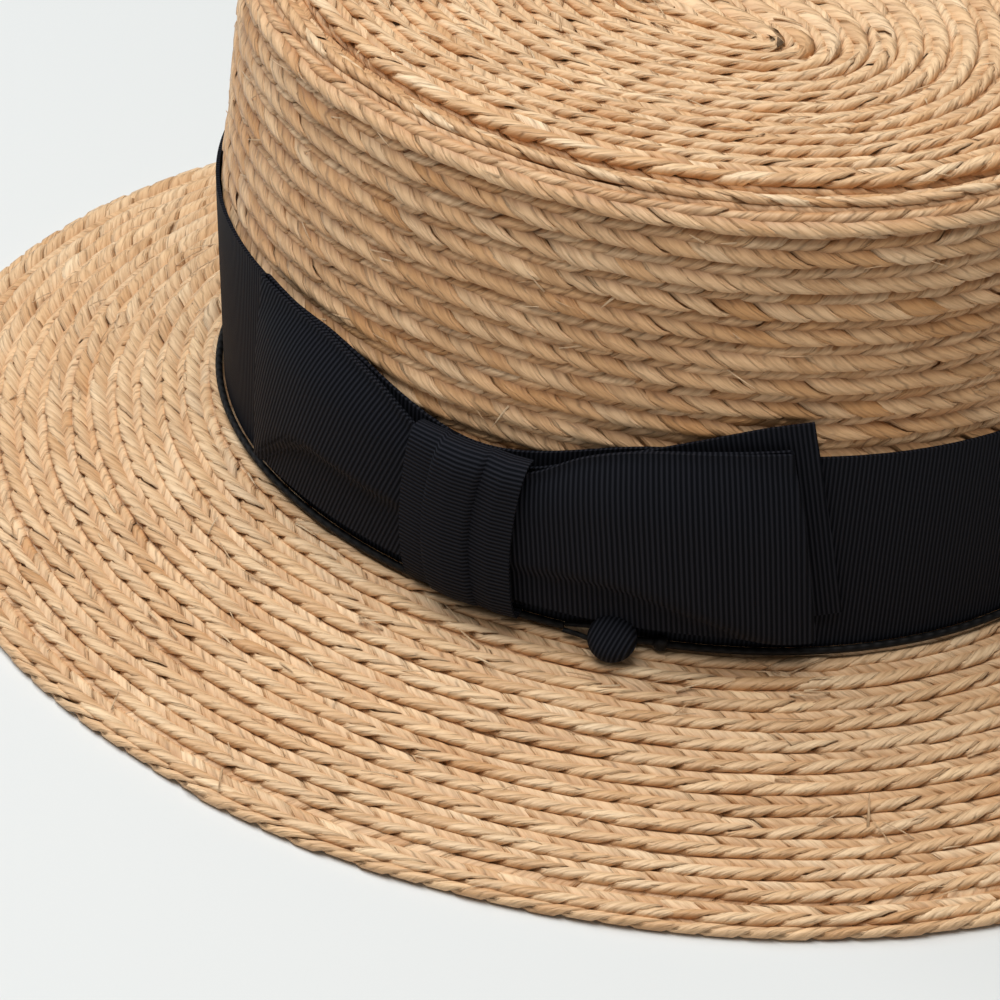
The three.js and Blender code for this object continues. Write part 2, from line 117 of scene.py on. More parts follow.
# Random straying along a row or a strand: a new value about every spacing millimetres
Stray = namedtuple("Stray", "spacing amount")
ROW_STRAY = Stray(42.0, 0.25)          # of a row's edge, millimetres
CROSSING_STRAY = Stray(22.0, 1.3)      # of the crossings along a row, millimetres
WIDTH_STRAY = Stray(60.0, 0.05)        # of a strand's width, as a share
FINE_WIDTH_STRAY = Stray(7.0, 0.10)
THICKNESS_STRAY = Stray(16.0, 0.12)    # of its thickness, as a share
PLACE_STRAY = Stray(9.0, 0.2)          # of its place across the plait, millimetres
HEIGHT_STRAY = Stray(8.0, 0.16)        # of its height in the plait, millimetres
SHADE_STRAY = Stray(340.0, 0.14)       # of its shade
FINE_SHADE_STRAY = Stray(30.0, 0.10)
HUE_STRAY = Stray(420.0, 0.24)         # of its hue

# Section of a strand: place across its width, place in its thickness
SECTION = np.array([(-0.5, 0.0), (-0.3, 0.5), (0.3, 0.5), (0.5, 0.0), (0.3, -0.5), (-0.3, -0.5)])

# Places of a strand's rings, in widths of the plait crossed: from the outer edge up to 1, and back up to 2
OUTWARD_RINGS = [0.0, 0.05, 0.11, 0.2, 0.3, 0.4, 0.5, 0.6, 0.8, 0.92]
RETURN_RINGS = [1.0, 1.08, 1.2, 1.4, 1.5, 1.6, 1.7, 1.8, 1.89, 1.95]
FINE_RINGS = np.array(OUTWARD_RINGS + RETURN_RINGS)
COARSE_RINGS = np.array([0.0, 0.08, 0.2, 0.4, 0.6, 0.8, 0.92, 1.0, 1.08, 1.2, 1.4, 1.6, 1.8, 1.92])

# flat: half of the plait between its rounded edges. radius: of the edges. width: of a strand.
# repeat: length in which a strand comes back to the same edge. lap: how steeply a row leans on the next.
# shade: its mean shade, from deep tan to pale, set lower on the side as painted shade. dark: how strongly
# painted shade darkens its inner half under the row above, and its strands where they pass under.
Plait = namedtuple("Plait", "flat radius width repeat lap shade dark rings")
TIP_PLAIT = Plait(4.8, 0.85, 4.4, 36.5, 0.21, 0.55, 0.4, FINE_RINGS)
SHOULDER_PLAIT = Plait(4.8, 0.75, 4.4, 37.0, 0.21, 0.46, 0.4, FINE_RINGS)
# The side's low shade is painted shade, where the crown's side lies in shade; its hollows also take the
# strongest painted shade
SIDE_PLAIT = Plait(5.2, 0.7, 4.5, 38.0, 0.19, 0.35, 0.85, FINE_RINGS)
HIDDEN_PLAIT = SIDE_PLAIT._replace(rings=COARSE_RINGS)
BRIM_PLAIT = Plait(4.6, 0.85, 4.45, 36.5, 0.23, 0.58, 0.45, FINE_RINGS)
EDGE_PLAIT = Plait(4.1, 0.6, 3.8, 36.0, 0.0, 0.55, 0.3, FINE_RINGS)

# edges: profile distance of each row's outer edge. span: turns from its first end to its last.
# start: degrees at turn 0. forward: whether it is plaited the way it is laid. lift: off the surface.
Spiral = namedtuple("Spiral", "plait surface edges span start forward lift")
SpiralLine = namedtuple("SpiralLine", "turns lengths stray crossings")
Strand = namedtuple("Strand", "along rings tint shift")


def smooth(x):
    x = np.clip(x, 0.0, 1.0)
    return x * x * (3.0 - 2.0 * x)


def unit(vectors):
    return vectors / np.linalg.norm(vectors, axis=-1, keepdims=True)


def run_along(points):
    """Length run along a line, at each of its points."""
    steps = np.linalg.norm(np.diff(points, axis=0), axis=1)
    return np.concatenate([[0.0], np.cumsum(steps)])


def curve_through(rows, steps):
    """Values at even steps along a smooth curve through rows of values."""
    rows = np.array(rows, dtype=float)
    last = len(rows) - 1
    place = np.linspace(0.0, last, steps + 1)
    row = np.minimum(place.astype(int), last - 1)
    share = (place - row)[:, None]
    before, here, there, beyond = [rows[np.clip(row + step, 0, last)] for step in (-1, 0, 1, 2)]
    start_slope = (there - before) / 2
    end_slope = (beyond - here) / 2
    values = here + (there - here) * smooth(share)
    return values + start_slope * share * (1.0 - share) ** 2 - end_slope * share ** 2 * (1.0 - share)


def refine(table, steps):
    """Columns of a short table, read along a smooth curve at even steps."""
    return type(table[0])(*curve_through(table, steps).T)


# Surfaces of the hat: an angle in radians from +X, and a distance along the profile
def oval(angle, offset, z):
    x = (HALF_WIDTH + offset) * np.cos(angle)
    y = (HALF_LENGTH + offset) * np.sin(angle)
    return np.stack(np.broadcast_arrays(x, y, z), axis=-1)


def front_tuck(angle):
    return FRONT_TUCK * np.maximum(0.0, -np.sin(angle)) ** 2


def side_offset(angle, up):
    low = np.clip(up / RIBBON_WIDTH, 0.0, 1.0)
    high = np.clip((up - RIBBON_WIDTH) / (SIDE_HEIGHT - RIBBON_WIDTH), 0.0, 1.0)
    return SIDE_SWELL * low - front_tuck(angle) * (1.0 - low) - (SIDE_SWELL + SHOULDER_INSET) * high


def beside_crown(degrees, out, up):
    angle = np.radians(degrees)
    return oval(angle, side_offset(angle, up) + out, FOOT_HEIGHT + up)


def tip_surface(angle, offset):
    """In from the edge of the tip. At its middle the oval keeps a small width."""
    narrowest = TIP_MIDDLE - HALF_WIDTH
    offset = np.where(offset < narrowest, narrowest + MIDDLE_SLOPE * (offset - narrowest), offset)
    row = (-TIP_EDGE_INSET - offset) / TIP_ROW_PITCH
    rise = (TIP_RISE + TIP_EDGE_DROP) * smooth(row) - TIP_DISH * np.clip(row / TIP_ROWS, 0.0, 1.0)
    return oval(angle, offset, FOOT_HEIGHT + SIDE_HEIGHT - TIP_EDGE_DROP + rise)


def side_surface(angle, down):
    """Down from the shoulder. Above it the surface turns in under the tip."""
    bend = np.clip((SHOULDER_RADIUS - down) / (SHOULDER_RADIUS * math.pi / 2), 0.0, 1.0) * math.pi / 2
    inwards = np.minimum(0.0, down - SHOULDER_RADIUS * (1.0 - math.pi / 2))
    up = SIDE_HEIGHT - np.maximum(down, SHOULDER_RADIUS)
    offset = side_offset(angle, up) - SHOULDER_RADIUS * (1.0 - np.cos(bend)) + inwards
    height = FOOT_HEIGHT + up + SHOULDER_RADIUS * np.sin(bend) - SHOULDER_DROP
    return oval(angle, offset, height + TUCK_SLOPE * inwards)


def brim_surface(angle, out):
    """Out from the crown's foot. Inside it the surface turns up behind the band."""
    share = np.clip(1.0 - out / BRIM_WIDTH, 0.0, 1.0)
    z = EDGE_HEIGHT + (BRIM_INNER_TOP - EDGE_HEIGHT) * share ** BRIM_CURVE
    inside = np.maximum(0.0, -out)
    offset = np.maximum(out, -BRIM_INNER_TUCK) - front_tuck(angle) * share
    return oval(angle, offset, z + inside)


def edge_surface(angle, out):
    """The doubled row under the edge lies flat."""
    return oval(angle, out, np.full(np.broadcast(angle, out).shape, EDGE_ROW_HEIGHT))


def surface_frame(surface, angle, path):
    """Point, outward normal and outward direction along the profile."""
    step = 1e-3
    here = surface(angle, path)
    along = surface(angle + step, path) - here
    across = surface(angle, path + step) - surface(angle, path - step)
    normal = unit(np.cross(across, along))
    return here, normal, unit(across)


# Plaited rows
def wander(at, stray):
    """Smooth random values at lengths along a row or a strand."""
    count = int(np.max(at) / stray.spacing) + 3
    values = rng.normal(0.0, stray.amount, count)
    return np.interp(at / stray.spacing, np.arange(count), values)


def row_edge(turns, edges):
    """Profile distance of a spiral's outer edge after some turns."""
    row = np.clip(np.floor(turns).astype(int), 0, len(edges) - 1)
    following = np.minimum(row + 1, len(edges) - 1)
    share = smooth((turns - row - 1.0 + SEAM_SHARE) / SEAM_SHARE)
    return edges[row] + (edges[following] - edges[row]) * share


def plait_fold(run, plait):
    """Place across the plait, height in it and tilt of a strand's face.

    The run is the length that the strand has gone across the plait and round its edges."""
    quarter = plait.radius * math.pi / 2
    half = 2 * quarter + 2 * plait.flat
    run = run % (2 * half)
    returning = run >= half
    step = np.where(returning, run - half, run)
    rise = np.clip(step / plait.radius, 0.0, math.pi / 2)
    fall = np.clip((step - quarter - 2 * plait.flat) / plait.radius, 0.0, math.pi / 2)
    level = np.clip(step - quarter, 0.0, 2 * plait.flat)
    across = plait.flat - level + plait.radius * (np.cos(rise) - np.sin(fall))
    passing = np.cos(math.pi * STRANDS * (np.clip(step / half, 1 / STRANDS, 1 - 1 / STRANDS) - 1 / STRANDS))
    crossing = np.tanh(CROSSING_STEEPNESS * passing) / math.tanh(CROSSING_STEEPNESS)
    height = plait.radius * np.sin(rise) * crossing * np.cos(fall)
    tilt = math.pi / 2 - rise + fall
    return np.where(returning, -across, across), height, np.where(returning, math.pi - tilt, tilt)


def lingering(crossed):
    """Length run, in even crossings, when a strand has crossed the plait some times."""
    length = np.linspace(0.0, 2.0, LINGER_STEPS + 1)
    way = length - EDGE_LINGER * np.sin(2 * math.pi * length) / (2 * math.pi)
    return np.interp(crossed, way, length)


def half_width(plait):
    return plait.flat + plait.radius + STRAND_THICKNESS / 2


def spiral_line(spiral):
    """Turns, lengths, straying and number of crossings along the middle of a spiral."""
    first, last = spiral.span
    turns = np.linspace(first, last, int((last - first) * LINE_STEPS) + 1)
    angles = math.radians(spiral.start) + 2 * math.pi * turns
    lengths = run_along(spiral.surface(angles, row_edge(turns, spiral.edges) - half_width(spiral.plait)))
    stray = wander(lengths, ROW_STRAY)
    crossings = 2 * (lengths + wander(lengths, CROSSING_STRAY)) / spiral.plait.repeat
    return SpiralLine(turns, lengths, stray, crossings)


def strand_steps(plait, line, index):
    """For the rings of one strand, the widths of the plait crossed and the lengths along the spiral."""
    first = 2 * index / STRANDS
    earliest, latest = line.crossings[0], line.crossings[-1]
    cycles = 2 * np.arange(math.floor((first + earliest) / 2), math.ceil((first + latest) / 2))
    reached = (cycles[:, None] + lingering(plait.rings)).ravel() - first
    crossed = (cycles[:, None] + plait.rings).ravel()
    within = (reached >= earliest) & (reached <= latest)
    return crossed[within], np.interp(reached[within], line.crossings, line.lengths)


def plait_strand(spiral, line, index):
    """One strand of a spiral of plait, as rings of points along its length."""
    plait = spiral.plait
    reach = plait.flat + plait.radius
    half_run = math.pi * plait.radius + 2 * plait.flat
    slant = math.atan2(2 * half_run, plait.repeat)
    crossed, along = strand_steps(plait, line, index)
    across, height, tilt = plait_fold(crossed * half_run, plait)
    turning = np.sin(tilt) ** 2

    # Its width and thickness
    width = plait.width * (1.0 + wander(along, WIDTH_STRAY) + wander(along, FINE_WIDTH_STRAY))
    width = width * (1.0 + MIDDLE_SPREAD * (1.0 - turning)) / math.sin(slant)
    thickness = STRAND_THICKNESS * (1.0 + wander(along, THICKNESS_STRAY)) * (1.0 + EDGE_PLUMPNESS * turning)

    # Its place along the row and across it
    total = line.lengths[-1]
    travel = np.clip(along[:, None] + width[:, None] * SECTION[:, 0], 0.0, total)
    if not spiral.forward:
        travel = total - travel
    turns = np.interp(travel, line.lengths, line.turns)
    angle = math.radians(spiral.start) + 2 * math.pi * turns
    placed = across + wander(along, PLACE_STRAY)
    lobe = np.sign(across)[:, None] * turning[:, None] * LOBE_CURVE * (2 * SECTION[:, 0]) ** 2
    edge = row_edge(turns, spiral.edges) + np.interp(travel, line.lengths, line.stray)
    path = edge - half_width(plait) + placed[:, None] - lobe
    here, normal, outward = surface_frame(spiral.surface, angle, path)

    # Its height over the surface
    leaning = plait.lap * (across - reach) - plait.radius
    raised = spiral.lift + height + leaning + wander(along, HEIGHT_STRAY)
    facing = normal * np.cos(tilt)[:, None, None] + outward * np.sin(tilt)[:, None, None]
    depth = thickness[:, None] * SECTION[:, 1]
    rings = here + normal * raised[:, None, None] + facing * depth[..., None]

    # Its colour
    # The plait's mean shade, with a random tone along the strand; on the side the mean is lowered as painted
    # shade
    shade = plait.shade + wander(along, SHADE_STRAY) + wander(along, FINE_SHADE_STRAY)
    hue = MIDDLE_HUE + wander(along, HUE_STRAY)
    # Painted shade: darker over the plait's inner half, which lies under the row above, and where a strand
    # lies low in the plait and passes under the others
    painted_shade = smooth(-across / reach) + 0.5 - 0.5 * height / plait.radius
    tint = np.clip(np.stack([shade, hue, painted_shade, np.ones_like(shade)], axis=-1), 0.0, 1.0)
    tint = tint * (1.0, 1.0, plait.dark, 1.0)
    return Strand(along, rings, tint, float(rng.integers(0, FIBRE_PLACES)))


def plait_strands(plait, surface, edges, span, start=SEAM_ANGLE, forward=True, lift=0.0):
    """The strands of one spiral of plait."""
    spiral = Spiral(plait, surface, np.asarray(edges), span, start, forward, lift)
    line = spiral_line(spiral)
    return [plait_strand(spiral, line, index) for index in range(STRANDS)]


# Meshes and pieces
def new_mesh(name, points, faces, smooth_angle=180.0):
    """A mesh from points in millimetres and a list of face arrays, one for each number of corners."""
    mesh = bpy.data.meshes.new(name)
    mesh.vertices.add(len(points))
    mesh.vertices.foreach_set("co", (points * MM).astype(np.float32).ravel())
    sizes = np.concatenate([np.full(len(part), part.shape[1]) for part in faces])
    corners = np.concatenate([part.ravel() for part in faces])
    mesh.loops.add(len(corners))
    mesh.loops.foreach_set("vertex_index", corners.astype(np.int32))
    mesh.polygons.add(len(sizes))
    starts = np.concatenate([[0], np.cumsum(sizes)[:-1]])
    mesh.polygons.foreach_set("loop_start", starts.astype(np.int32))
    mesh.update(calc_edges=True)
    mesh.validate()
    mesh.shade_smooth()
    if smooth_angle < 180.0:
        mesh.set_sharp_from_angle(angle=math.radians(smooth_angle))
    return mesh


def add_uv(mesh, name, values):
    layer = mesh.uv_layers.new(name=name)
    layer.data.foreach_set("uv", values.astype(np.float32).ravel())


def ring_faces(count, sides, first):
    """Faces between rings of points that follow each other from a first point on, and the two end faces."""
    corner = np.arange(sides)
    ring = first + np.arange(count - 1)[:, None] * sides
    here = ring + corner
    beside = ring + (corner + 1) % sides
    quads = np.stack([here, beside, beside + sides, here + sides], axis=-1).reshape(-1, 4)
    ends = first + np.stack([corner[::-1], (count - 1) * sides + corner])
    return quads, ends


def ring_weave(weave):
    """Weave at the corners of those faces. It has one column more than the rings have points."""
    corners = [weave[:-1, :-1], weave[:-1, 1:], weave[1:, 1:], weave[1:, :-1]]
    return np.stack(corners, axis=2).reshape(-1, 2)


def strand_mesh(name, strands, first, last):
    """One closed mesh of the part of each strand from one share of its length to another."""
    sides = len(SECTION)
    points, quads, ends, weaves, tints = [], [], [], [], []
    base = 0
    for strand in strands:
        last_ring = len(strand.along) - 1
        part = slice(round(first * last_ring), round(last * last_ring) + 1)
        along = strand.along[part]
        some_quads, some_ends = ring_faces(len(along), sides, base)
        round_it = np.arange(sides + 1) / sides + strand.shift
        points.append(strand.rings[part].reshape(-1, 3))
        quads.append(some_quads)
        ends.append(some_ends)
        weaves.append(ring_weave(np.stack(np.broadcast_arrays(along[:, None], round_it), axis=-1)))
        tints.append(np.repeat(strand.tint[part], sides, axis=0))
        base += len(along) * sides
    ends = np.concatenate(ends)
    mesh = new_mesh(name, np.concatenate(points), [np.concatenate(quads), ends])
    add_uv(mesh, "fibre", np.concatenate(weaves + [np.zeros((ends.size, 2))]))
    layer = mesh.color_attributes.new("tint", "FLOAT_COLOR", "POINT")
    layer.data.foreach_set("color", np.concatenate(tints).astype(np.float32).ravel())
    return mesh


def link(thing):
    bpy.context.scene.collection.objects.link(thing)


def add_piece(name, mesh, material, node):
    piece = bpy.data.objects.new(name, mesh)
    link(piece)
    mesh.materials.append(material)
    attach(piece, "root")
    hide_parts(node)
    return piece


# Materials
Finish = namedtuple("Finish", "material nodes links shader")
WHITE = (1.0, 1.0, 1.0)
DEEP_TAN = (0.64, 0.35, 0.155)
PALE_STRAW = (1.0, 0.76, 0.51)
COOLER = (0.98, 0.99, 0.98)
WARMER = (1.0, 0.93, 0.82)
STREAK_COLOUR = (0.60, 0.52, 0.44)
# Painted shade in the slits between a strand's fibres
SLIT_PAINTED_SHADE = (0.30, 0.27, 0.24)
# Painted shade that darkens the straw in the plait's hollows
PAINTED_SHADE_COLOUR = (0.46, 0.28, 0.175, 1.0)
# The ribbon's own colour is near black; the paler, bluer colour on its rib crests is painted sheen
RIBBON_DARK = (0.0056, 0.0061, 0.0082)
RIBBON_PAINTED_SHEEN = (0.0215, 0.0225, 0.0290)
RIBBON_REFLECTION = (0.72, 0.86, 1.0, 1.0)
CORD_DARK = (0.0025, 0.0023, 0.0023)
CORD_PALE = (0.0090, 0.0085, 0.0090)
WAVE_RADIANS = 20.0          # a wave texture of scale 1 turns by this along each unit


def new_finish(name):
    material = bpy.data.materials.new(name)
    material.use_nodes = True
    nodes = material.node_tree.nodes
    return Finish(material, nodes, material.node_tree.links, nodes["Principled BSDF"])


def feed(finish, node, inputs):
    """Give each named input its value, or link it to another node's output."""
    for name, source in inputs.items():
        if isinstance(source, bpy.types.NodeSocket):
            finish.links.new(source, node.inputs[name])
        else:
            node.inputs[name].default_value = source


def add_node(finish, kind, inputs, **settings):
    node = finish.nodes.new("ShaderNode" + kind)
    for name, value in settings.items():
        setattr(node, name, value)
    feed(finish, node, inputs)
    return node


def uv_map(finish, name):
    return add_node(finish, "UVMap", {}, uv_map=name).outputs["UV"]


def noise(finish, uv, stretch, scale, detail=2.0, roughness=0.5):
    mapping = add_node(finish, "Mapping", {"Vector": uv, "Scale": (*stretch, 1.0)})
    inputs = {"Vector": mapping.outputs["Vector"], "Scale": scale, "Detail": detail, "Roughness": roughness}
    return add_node(finish, "TexNoise", inputs).outputs["Fac"]


def bands(finish, uv, direction, pitch, distortion, detail_scale):
    """Parallel bands, one for each pitch in millimetres."""
    inputs = {
        "Vector": uv,
        "Scale": 2 * math.pi / (WAVE_RADIANS * pitch),
        "Distortion": distortion,
        "Detail": 2.0,
        "Detail Scale": detail_scale,
    }
    return add_node(finish, "TexWave", inputs, wave_type="BANDS", bands_direction=direction).outputs["Fac"]


def ramp(finish, factor, first, last, between=()):
    """Colours read by a factor between stops, each a place from 0 to 1 and a colour."""
    node = add_node(finish, "ValToRGB", {"Fac": factor})
    elements = node.color_ramp.elements
    for element, (place, colour) in zip(elements, (first, last)):
        element.position = place
        element.color = (*colour, 1.0)
    for place, colour in between:
        elements.new(place).color = (*colour, 1.0)
    return node.outputs["Color"]


def multiply(finish, first, second, factor):
    inputs = {"A": first, "B": second, "Factor": factor}
    return add_node(finish, "Mix", inputs, data_type="RGBA", blend_type="MULTIPLY").outputs["Result"]


def bump(finish, height, strength, distance, **below):
    """A normal bent by a height, on top of another Normal where one is given."""
    inputs = {"Height": height, "Strength": strength, "Distance": distance, **below}
    return add_node(finish, "Bump", inputs).outputs["Normal"]


# The slits between a strand's fibres, darkened with painted shade: places in the share of the way round the
# strand
SLITS = (0.24, 0.37, 0.49, 0.74, 0.87, 0.99)
SLIT_HALF_WIDTH = 0.02
SLIT_WAVER = 0.22


def fibre_slits(finish, uv):
    """Dark lines of painted shade along a strand, in the slits between its fibres, that waver a little."""
    apart = add_node(finish, "SeparateXYZ", {"Vector": uv})
    round_it = add_node(finish, "Math", {0: apart.outputs["Y"]}, operation="FRACT")
    waver = noise(finish, uv, stretch=(0.16, 1.0), scale=1.3)
    inputs = {0: waver, 1: SLIT_WAVER, 2: round_it.outputs["Value"]}
    place = add_node(finish, "Math", inputs, operation="MULTIPLY_ADD").outputs["Value"]
    stops = []
    for slit in SLITS:
        stops.append((slit - SLIT_HALF_WIDTH, WHITE))
        stops.append((slit, SLIT_PAINTED_SHADE))
        stops.append((min(slit + SLIT_HALF_WIDTH, 1.0), WHITE))
    return ramp(finish, place, (0.0, WHITE), (1.0, WHITE), stops)


def straw_material():
    """Each strand has its tint: its shade in red, its hue in green, and in blue the strength of the painted
    shade in its hollows.
    """
    finish = new_finish("plaited_straw")
    uv = uv_map(finish, "fibre")
    tint = add_node(finish, "VertexColor", {}, layer_name="tint")
    parts = add_node(finish, "SeparateColor", {"Color": tint.outputs["Color"]})
    shades = ramp(finish, parts.outputs["Red"], (0.05, DEEP_TAN), (0.95, PALE_STRAW))
    hues = ramp(finish, parts.outputs["Green"], (0.0, COOLER), (1.0, WARMER))
    coloured = multiply(finish, shades, hues, factor=1.0)
    fibres = noise(finish, uv, stretch=(0.045, 8.0), scale=2.6, detail=5.0, roughness=0.6)
    streaks = ramp(finish, fibres, (0.36, STREAK_COLOUR), (0.56, WHITE))
    streaked = multiply(finish, coloured, streaks, factor=0.65)
    slits = fibre_slits(finish, uv)
    breaks = noise(finish, uv, stretch=(0.09, 5.0), scale=1.7, detail=1.0)
    opening = {"Value": breaks, "From Min": 0.45, "From Max": 0.65, "To Max": 0.6}
    opened = add_node(finish, "MapRange", opening)
    parted = multiply(finish, streaked, slits, opened.outputs["Result"])
    grooves = bump(finish, slits, strength=0.4, distance=0.0005)
    feed(finish, finish.shader, {
        # The tint's blue paints shade into the hollows
        "Base Color": multiply(finish, parted, PAINTED_SHADE_COLOUR, parts.outputs["Blue"]),
        "Normal": bump(finish, fibres, strength=0.75, distance=0.00045, Normal=grooves),
        "Roughness": 0.48,
        "Specular IOR Level": 0.42,
    })
    return finish.material


RIB_PITCH = 0.95


def ribbon_material():
    finish = new_finish("ribbed_ribbon")
    uv = uv_map(finish, "weave")
    ribs = bands(finish, uv, "X", RIB_PITCH, distortion=0.35, detail_scale=0.6)
    threads = noise(finish, uv, stretch=(1.0, 1.0), scale=4.5, detail=4.0)
    fine = bump(finish, threads, strength=0.25, distance=0.00015)
    feed(finish, finish.shader, {
        # Painted sheen: rib crests paler and bluer
        "Base Color": ramp(finish, ribs, (0.2, RIBBON_DARK), (0.9, RIBBON_PAINTED_SHEEN)),
        "Normal": bump(finish, ribs, strength=0.8, distance=0.0003, Normal=fine),
        "Roughness": 0.55,
        "Specular IOR Level": 0.02,
        "Specular Tint": RIBBON_REFLECTION,
    })
    return finish.material


CORD_TWIST = 1.5             # length of one turn of the cord's twist


def cord_material():
    finish = new_finish("twisted_cord")
    uv = uv_map(finish, "weave")
    turns = bands(finish, uv, "DIAGONAL", CORD_TWIST, distortion=0.4, detail_scale=1.0)
    feed(finish, finish.shader, {
        "Base Color": ramp(finish, turns, (0.0, CORD_DARK), (1.0, CORD_PALE)),
        "Normal": bump(finish, turns, strength=0.9, distance=0.0003),
        "Roughness": 0.55,
        "Specular IOR Level": 0.15,
    })
    return finish.material


straw = straw_material()
ribbon = ribbon_material()
cord = cord_material()


def add_plait(names, strands, node):
    """Pieces of equal length cut from a spiral of plait."""
    for number, name in enumerate(names):
        mesh = strand_mesh(name, strands, number / len(names), (number + 1) / len(names))
        add_piece(name, mesh, straw, node)


# Tip, shoulder, side, brim and the doubled row under the edge, each a spiral of plait
tip_edges = [-TIP_EDGE_INSET - TIP_ROW_PITCH * row for row in range(TIP_ROWS + 1, -1, -1)]
tip_strands = plait_strands(TIP_PLAIT, tip_surface, tip_edges, (0.0, len(tip_edges)))
add_plait(["tip_plait"], tip_strands, "crown")

side_edges = [HIDDEN_ROW_EDGE, SHOULDER_ROW_EDGE]
for row in range(1, SIDE_ROWS + 1):
    shift = SIDE_ROW_SHIFT * math.sin(math.pi * (row / SIDE_ROWS) ** SIDE_SHIFT_POWER)
    side_edges.append(SIDE_ROW_PITCH * row + SIDE_ROW_START + shift)
shoulder_edges = side_edges[:SHOULDER_ROWS]
upper_edges = side_edges[SHOULDER_ROWS:UPPER_ROWS]
lower_edges = side_edges[UPPER_ROWS:]
shoulder_span = (-SEAM_SHARE, len(shoulder_edges))
shoulder_strands = plait_strands(SHOULDER_PLAIT, side_surface, shoulder_edges, shoulder_span, forward=False)
add_plait(["shoulder_plait"], shoulder_strands, "crown")
upper_span = (-SEAM_SHARE, len(upper_edges))
upper_strands = plait_strands(SIDE_PLAIT, side_surface, upper_edges, upper_span, forward=False)
add_plait(["side_plait_middle", "side_plait_upper"], upper_strands, "crown")
lower_span = (-SEAM_SHARE, len(lower_edges))
lower_strands = plait_strands(
    HIDDEN_PLAIT, side_surface, lower_edges, lower_span, forward=False, lift=LOWER_ROW_LIFT)
add_plait(["side_plait_lower"], lower_strands, "crown")

brim_edges = [BRIM_ROW_PITCH * row for row in range(1, BRIM_ROWS + 1)] + [LAST_ROW_EDGE]
brim_strands = plait_strands(BRIM_PLAIT, brim_surface, brim_edges, (-SEAM_SHARE, len(brim_edges)))
add_plait(["brim_plait_inner", "brim_plait_middle", "brim_plait_outer"], brim_strands, "brim")

edge_row_edges = [BRIM_WIDTH + EDGE_ROW_START, BRIM_WIDTH + EDGE_ROW_END]
edge_span = (0.0, EDGE_ROW_TURNS)
edge_strands = plait_strands(EDGE_PLAIT, edge_surface, edge_row_edges, edge_span, start=EDGE_END_ANGLE)
add_plait(["edge_plait"], edge_strands, "brim")

# Loose ends of raffia that stand off the rows: pairs are the least and the most
FIBRE_RINGS = 4
FIBRE_LENGTHS = (3.0, 8.0)
FIBRE_WIDTHS = (0.275, 0.66)
FIBRE_TAPER = 0.8
FIBRE_THICKNESS = 0.15
FIBRE_TURN = 0.45            # radians by which a fibre usually turns away from its row
FIBRE_RISES = (0.15, 0.4)    # slope at which it leaves the row
FIBRE_BEND = 0.5
FIBRE_DEPTH = 0.4            # its root lies this deep
FIBRE_SHADES = (0.4, 1.0)
FIBRE_HUES = (0.2, 0.8)


def loose_fibres(surface, first, last, count):
    """Fibres at random places of a surface, between two distances along its profile."""
    share = np.linspace(0.0, 1.0, FIBRE_RINGS)[:, None]
    fibres = []
    for number in range(count):
        angle = rng.uniform(0.0, 2 * math.pi)
        here, normal, outward = surface_frame(surface, angle, rng.uniform(first, last))
        row = np.cross(normal, outward) * rng.choice((-1.0, 1.0))
        turn = rng.normal(0.0, FIBRE_TURN)
        heading = row * math.cos(turn) + outward * math.sin(turn)
        length = rng.uniform(*FIBRE_LENGTHS)
        rise = length * rng.uniform(*FIBRE_RISES) * share * (1.0 - FIBRE_BEND * share)
        line = here + heading * length * share + normal * (rise - FIBRE_DEPTH)
        width = rng.uniform(*FIBRE_WIDTHS) * (1.0 - FIBRE_TAPER * share ** 2)
        across = np.cross(heading, normal) * (width * SECTION[:, 0])[..., None]
        rings = line[:, None] + across + normal * (FIBRE_THICKNESS * SECTION[:, 1])[:, None]
        tint = (rng.uniform(*FIBRE_SHADES), rng.uniform(*FIBRE_HUES), 0.0, 1.0)
        fibres.append(Strand(length * share[:, 0], rings, np.tile(tint, (FIBRE_RINGS, 1)), float(number)))
    return fibres


add_plait(["side_fibres"], loose_fibres(side_surface, first=3.0, last=60.0, count=150), "crown")
add_plait(["tip_fibres"], loose_fibres(tip_surface, first=-84.0, last=-10.0, count=110), "crown")
add_plait(["brim_fibres"], loose_fibres(brim_surface, first=4.0, last=66.0, count=260), "brim")

# Ribbons
SHEET_SMOOTHING = 50.0       # degrees up to which neighbouring faces look like one surface
BODY_SMOOTHING = 60.0


def sheet_mesh(name, grid, weave, closed=False):
    """A thin closed sheet round a grid of middle points, which may close into a ring."""
    rows, columns = grid.shape[:2]
    number = np.arange(rows * columns).reshape(rows, columns)
    if closed:
        wide = np.concatenate([grid[:, -1:], grid, grid[:, :1]], axis=1)
        along = np.gradient(wide, axis=1)[:, 1:-1]
        number = np.concatenate([number, number[:, :1]], axis=1)
    else:
        along = np.gradient(grid, axis=1)
    down = np.gradient(grid, axis=0)
    normal = unit(np.cross(down, along)) * RIBBON_THICKNESS / 2
    points = np.concatenate([(grid + normal).reshape(-1, 3), (grid - normal).reshape(-1, 3)])
    corners = [number[:-1, :-1], number[1:, :-1], number[1:, 1:], number[:-1, 1:]]
    front = np.stack(corners, axis=-1).reshape(-1, 4)
    to_back = rows * columns
    rims = [number[0, ::-1], number[-1]]
    if not closed:
        rims += [number[:, 0], number[::-1, -1]]
    faces = [front, front[:, ::-1] + to_back]
    for rim in rims:
        faces.append(np.stack([rim[:-1], rim[:-1] + to_back, rim[1:] + to_back, rim[1:]], axis=-1))
    faces = np.concatenate(faces)
    mesh = new_mesh(name, points, [faces], SHEET_SMOOTHING)
    both_weaves = np.concatenate([weave.reshape(-1, 2), weave.reshape(-1, 2)])
    add_uv(mesh, "weave", both_weaves[faces].reshape(-1, 2))
    return mesh


